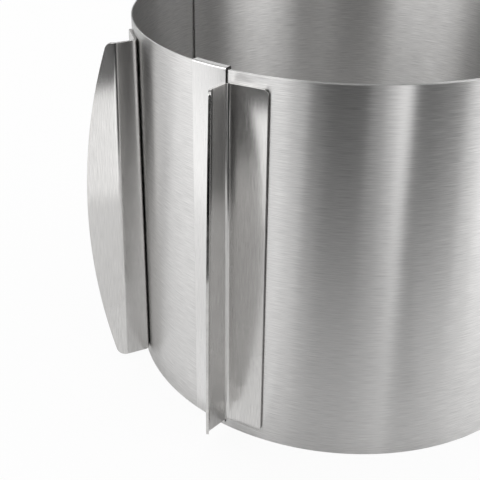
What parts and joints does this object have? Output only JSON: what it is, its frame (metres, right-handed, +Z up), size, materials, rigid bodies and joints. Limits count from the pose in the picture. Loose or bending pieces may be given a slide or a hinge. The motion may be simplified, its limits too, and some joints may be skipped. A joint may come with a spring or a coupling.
{
  "type": "adjustable cake ring",
  "caption": "Tall ring for baking and setting cakes: one wound steel strip whose diameter is set by pulling two folded handles together or apart, kept in line by a clip over the rim.",
  "frame": {"origin": "middle of the ring, on the plane that its lower rim stands on", "axes": "+Z up along the ring's axis; -Y towards the side that the clip and the handles are left of"},
  "size_m": [0.191, 0.1914, 0.1511],
  "materials": {
    "band_steel": "satin, brushed along the strip",
    "clip_steel": "satin, brushed upright",
    "handle_steel": "satin, brushed upright"
  },
  "bodies": {
    "left_handle_length": {"band_14": "band_steel", "left_handle": "handle_steel"},
    "outer_end": {"band_01": "band_steel", "clip": "clip_steel", "right_handle": "handle_steel"},
    "length_02": {"band_02": "band_steel"},
    "length_03": {"band_03": "band_steel"},
    "length_04": {"band_04": "band_steel"},
    "length_05": {"band_05": "band_steel"},
    "length_06": {"band_06": "band_steel"},
    "length_07": {"band_07": "band_steel"},
    "length_08": {"band_08": "band_steel"},
    "length_09": {"band_09": "band_steel"},
    "length_10": {"band_10": "band_steel"},
    "length_11": {"band_11": "band_steel"},
    "length_12": {"band_12": "band_steel"},
    "length_13": {"band_13": "band_steel"},
    "length_15": {"band_15": "band_steel"},
    "length_16": {"band_16": "band_steel"},
    "length_17": {"band_17": "band_steel"},
    "length_18": {"band_18": "band_steel"},
    "length_19": {"band_19": "band_steel"},
    "length_20": {"band_20": "band_steel"},
    "length_21": {"band_21": "band_steel"},
    "length_22": {"band_22": "band_steel"},
    "length_23": {"band_23": "band_steel"},
    "length_24": {"band_24": "band_steel"},
    "length_25": {"band_25": "band_steel"},
    "length_26": {"band_26": "band_steel"},
    "inner_end": {"band_27": "band_steel"}
  },
  "joints": [
    {"name": "bend_13", "type": "hinge", "parent": "left_handle_length", "child": "length_13", "pos_m": [-0.08602, -0.01947, 0.075], "axis": [0, 0, 1], "range_deg": [-1.35, 8.68]},
    {"name": "bend_12", "type": "hinge", "parent": "length_13", "child": "length_12", "pos_m": [-0.08626, 0.01856, 0.075], "axis": [0, 0, 1], "range_deg": [-1.59, 10.2], "deforming": ["band_13"]},
    {"name": "bend_11", "type": "hinge", "parent": "length_12", "child": "length_11", "pos_m": [-0.07047, 0.05319, 0.075], "axis": [0, 0, 1], "range_deg": [-1.59, 10.19], "deforming": ["band_12"]},
    {"name": "bend_10", "type": "hinge", "parent": "length_11", "child": "length_10", "pos_m": [-0.04157, 0.07799, 0.075], "axis": [0, 0, 1], "range_deg": [-1.58, 10.19], "deforming": ["band_11"]},
    {"name": "bend_09", "type": "hinge", "parent": "length_10", "child": "length_09", "pos_m": [-0.00489, 0.08834, 0.075], "axis": [0, 0, 1], "range_deg": [-1.58, 10.18], "deforming": ["band_10"]},
    {"name": "bend_08", "type": "hinge", "parent": "length_09", "child": "length_08", "pos_m": [0.03276, 0.08231, 0.075], "axis": [0, 0, 1], "range_deg": [-1.58, 10.18], "deforming": ["band_09"]},
    {"name": "bend_07", "type": "hinge", "parent": "length_08", "child": "length_07", "pos_m": [0.06441, 0.06099, 0.075], "axis": [0, 0, 1], "range_deg": [-1.58, 10.17], "deforming": ["band_08"]},
    {"name": "bend_06", "type": "hinge", "parent": "length_07", "child": "length_06", "pos_m": [0.08418, 0.02832, 0.075], "axis": [0, 0, 1], "range_deg": [-1.58, 10.17], "deforming": ["band_07"]},
    {"name": "bend_05", "type": "hinge", "parent": "length_06", "child": "length_05", "pos_m": [0.08838, -0.00966, 0.075], "axis": [0, 0, 1], "range_deg": [-1.58, 10.16], "deforming": ["band_06"]},
    {"name": "bend_04", "type": "hinge", "parent": "length_05", "child": "length_04", "pos_m": [0.07621, -0.04591, 0.075], "axis": [0, 0, 1], "range_deg": [-1.58, 10.16], "deforming": ["band_05"]},
    {"name": "bend_03", "type": "hinge", "parent": "length_04", "child": "length_03", "pos_m": [0.04991, -0.07369, 0.075], "axis": [0, 0, 1], "range_deg": [-1.58, 10.15], "deforming": ["band_04"]},
    {"name": "bend_02", "type": "hinge", "parent": "length_03", "child": "length_02", "pos_m": [0.01434, -0.08786, 0.075], "axis": [0, 0, 1], "range_deg": [-1.58, 10.14], "deforming": ["band_03"]},
    {"name": "bend_01", "type": "hinge", "parent": "length_02", "child": "outer_end", "pos_m": [-0.02391, -0.08576, 0.075], "axis": [0, 0, 1], "range_deg": [-1.34, 8.62], "deforming": ["band_02"]},
    {"name": "bend_14", "type": "hinge", "parent": "left_handle_length", "child": "length_15", "pos_m": [-0.07622, -0.04435, 0.075], "axis": [0, 0, -1], "range_deg": [-1.3, 8.34], "deforming": ["band_15"]},
    {"name": "bend_15", "type": "hinge", "parent": "length_15", "child": "length_16", "pos_m": [-0.05257, -0.0708, 0.075], "axis": [0, 0, -1], "range_deg": [-1.48, 9.53], "deforming": ["band_16"]},
    {"name": "bend_16", "type": "hinge", "parent": "length_16", "child": "length_17", "pos_m": [-0.02043, -0.08578, 0.075], "axis": [0, 0, -1], "range_deg": [-1.48, 9.54], "deforming": ["band_17"]},
    {"name": "bend_17", "type": "hinge", "parent": "length_17", "child": "length_18", "pos_m": [0.01499, -0.08689, 0.075], "axis": [0, 0, -1], "range_deg": [-1.48, 9.54], "deforming": ["band_18"]},
    {"name": "bend_18", "type": "hinge", "parent": "length_18", "child": "length_19", "pos_m": [0.04796, -0.07397, 0.075], "axis": [0, 0, -1], "range_deg": [-1.48, 9.54], "deforming": ["band_19"]},
    {"name": "bend_19", "type": "hinge", "parent": "length_19", "child": "length_20", "pos_m": [0.07316, -0.04912, 0.075], "axis": [0, 0, -1], "range_deg": [-1.49, 9.55], "deforming": ["band_20"]},
    {"name": "bend_20", "type": "hinge", "parent": "length_20", "child": "length_21", "pos_m": [0.08653, -0.01637, 0.075], "axis": [0, 0, -1], "range_deg": [-1.49, 9.55], "deforming": ["band_21"]},
    {"name": "bend_21", "type": "hinge", "parent": "length_21", "child": "length_22", "pos_m": [0.08592, 0.01897, 0.075], "axis": [0, 0, -1], "range_deg": [-1.49, 9.56], "deforming": ["band_22"]},
    {"name": "bend_22", "type": "hinge", "parent": "length_22", "child": "length_23", "pos_m": [0.07144, 0.0512, 0.075], "axis": [0, 0, -1], "range_deg": [-1.49, 9.56], "deforming": ["band_23"]},
    {"name": "bend_23", "type": "hinge", "parent": "length_23", "child": "length_24", "pos_m": [0.04546, 0.0751, 0.075], "axis": [0, 0, -1], "range_deg": [-1.49, 9.57], "deforming": ["band_24"]},
    {"name": "bend_24", "type": "hinge", "parent": "length_24", "child": "length_25", "pos_m": [0.01218, 0.08683, 0.075], "axis": [0, 0, -1], "range_deg": [-1.49, 9.57], "deforming": ["band_25"]},
    {"name": "bend_25", "type": "hinge", "parent": "length_25", "child": "length_26", "pos_m": [-0.023, 0.0845, 0.075], "axis": [0, 0, -1], "range_deg": [-1.49, 9.58], "deforming": ["band_26"]},
    {"name": "bend_26", "type": "hinge", "parent": "length_26", "child": "inner_end", "pos_m": [-0.0544, 0.06851, 0.075], "axis": [0, 0, -1], "range_deg": [-1.31, 8.39], "deforming": ["band_27"]}
  ],
  "couplings": [
    {"joint": "bend_12", "follows": "bend_13", "ratio": 1.1753},
    {"joint": "bend_11", "follows": "bend_13", "ratio": 1.1746},
    {"joint": "bend_10", "follows": "bend_13", "ratio": 1.174},
    {"joint": "bend_09", "follows": "bend_13", "ratio": 1.1733},
    {"joint": "bend_08", "follows": "bend_13", "ratio": 1.1727},
    {"joint": "bend_07", "follows": "bend_13", "ratio": 1.1721},
    {"joint": "bend_06", "follows": "bend_13", "ratio": 1.1714},
    {"joint": "bend_05", "follows": "bend_13", "ratio": 1.1708},
    {"joint": "bend_04", "follows": "bend_13", "ratio": 1.1701},
    {"joint": "bend_03", "follows": "bend_13", "ratio": 1.1695},
    {"joint": "bend_02", "follows": "bend_13", "ratio": 1.1689},
    {"joint": "bend_01", "follows": "bend_13", "ratio": 0.99328},
    {"joint": "bend_14", "follows": "bend_13", "ratio": 0.96078},
    {"joint": "bend_15", "follows": "bend_13", "ratio": 1.0981},
    {"joint": "bend_16", "follows": "bend_13", "ratio": 1.0986},
    {"joint": "bend_17", "follows": "bend_13", "ratio": 1.0992},
    {"joint": "bend_18", "follows": "bend_13", "ratio": 1.0997},
    {"joint": "bend_19", "follows": "bend_13", "ratio": 1.1003},
    {"joint": "bend_20", "follows": "bend_13", "ratio": 1.1009},
    {"joint": "bend_21", "follows": "bend_13", "ratio": 1.1014},
    {"joint": "bend_22", "follows": "bend_13", "ratio": 1.102},
    {"joint": "bend_23", "follows": "bend_13", "ratio": 1.1026},
    {"joint": "bend_24", "follows": "bend_13", "ratio": 1.1031},
    {"joint": "bend_25", "follows": "bend_13", "ratio": 1.1037},
    {"joint": "bend_26", "follows": "bend_13", "ratio": 0.96684}
  ]
}
